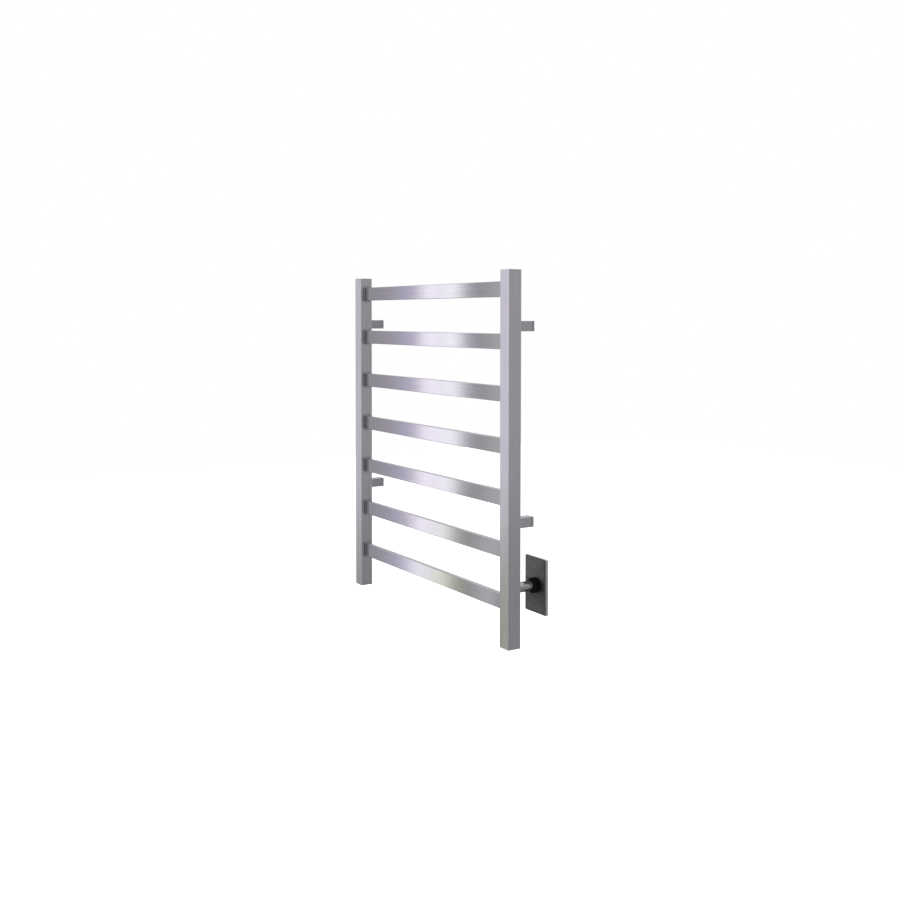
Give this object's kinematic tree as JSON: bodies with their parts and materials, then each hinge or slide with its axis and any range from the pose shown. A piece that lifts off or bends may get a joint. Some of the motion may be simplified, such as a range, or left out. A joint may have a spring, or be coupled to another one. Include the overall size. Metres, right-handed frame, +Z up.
{
  "type": "towel warmer rack",
  "caption": "Wall-mounted hard-wired towel warmer: square posts joined by flat rails, telescopic stand-offs to the wall, and a conduit with a sliding cover plate.",
  "frame": {"origin": "centre of the four wall screw holes, on the wall plane", "axes": "+Z up along the posts, +X along the rails towards the post with the conduit, +Y into the wall"},
  "size_m": [0.6801, 0.096, 0.762],
  "materials": {
    "brushed_steel": "brushed stainless steel, fine grain along each tube",
    "cast_boss": "machined stainless, slightly duller than the tubes",
    "fastener_steel": "bright zinc-plated or stainless fasteners",
    "conduit_steel": "polished plated pipe",
    "plate_steel": "satin stainless pan",
    "black_rubber": "matt black",
    "bushing_plastic": "matt black nylon",
    "cable_silicone": "matt silicone jacket",
    "lead_silicone": "matt silicone jacket",
    "earth_insulation": "satin green",
    "heat_shrink": "matt black heat-shrink",
    "cutout_ceramic": "glazed ceramic-like sleeve",
    "tinned_copper": "tinned"
  },
  "bodies": {
    "wall_side": {"wall_boss_left_upper": "cast_boss", "wall_boss_left_lower": "cast_boss", "wall_boss_right_upper": "cast_boss", "wall_boss_right_lower": "cast_boss"},
    "rack": {"left_post": "brushed_steel", "right_post": "brushed_steel", "left_post_top_cap": "brushed_steel", "left_post_bottom_cap": "brushed_steel", "right_post_top_cap": "brushed_steel", "right_post_bottom_cap": "brushed_steel", "rail_1": "brushed_steel", "rail_2": "brushed_steel", "rail_3": "brushed_steel", "rail_4": "brushed_steel", "rail_5": "brushed_steel", "rail_6": "brushed_steel", "rail_7": "brushed_steel", "standoff_sleeve_left_upper": "brushed_steel", "standoff_sleeve_left_lower": "brushed_steel", "standoff_sleeve_right_upper": "brushed_steel", "standoff_sleeve_right_lower": "brushed_steel", "set_screws": "fastener_steel", "sleeve_screws": "fastener_steel", "post_inserts": "fastener_steel", "conduit_bush": "conduit_steel", "conduit": "conduit_steel", "conduit_end_bushing": "bushing_plastic", "heating_cable": "cable_silicone", "supply_lead": "lead_silicone", "earth_wire": "earth_insulation", "cold_lead_splice": "heat_shrink", "thermal_cutout": "cutout_ceramic", "cable_end_seal": "heat_shrink", "earth_stud": "fastener_steel", "earth_lug": "tinned_copper", "earth_nut": "fastener_steel"},
    "supply_cover": {"cover_plate": "plate_steel", "plate_collar": "black_rubber", "plate_screws": "fastener_steel"}
  },
  "joints": [
    {"name": "standoff_slide", "type": "slide", "parent": "wall_side", "child": "rack", "axis": [0, -1, 0], "range_m": [0, 0.0185]},
    {"name": "cover_slide", "type": "slide", "parent": "rack", "child": "supply_cover", "axis": [0, -1, 0], "range_m": [0, 0.035]}
  ]
}
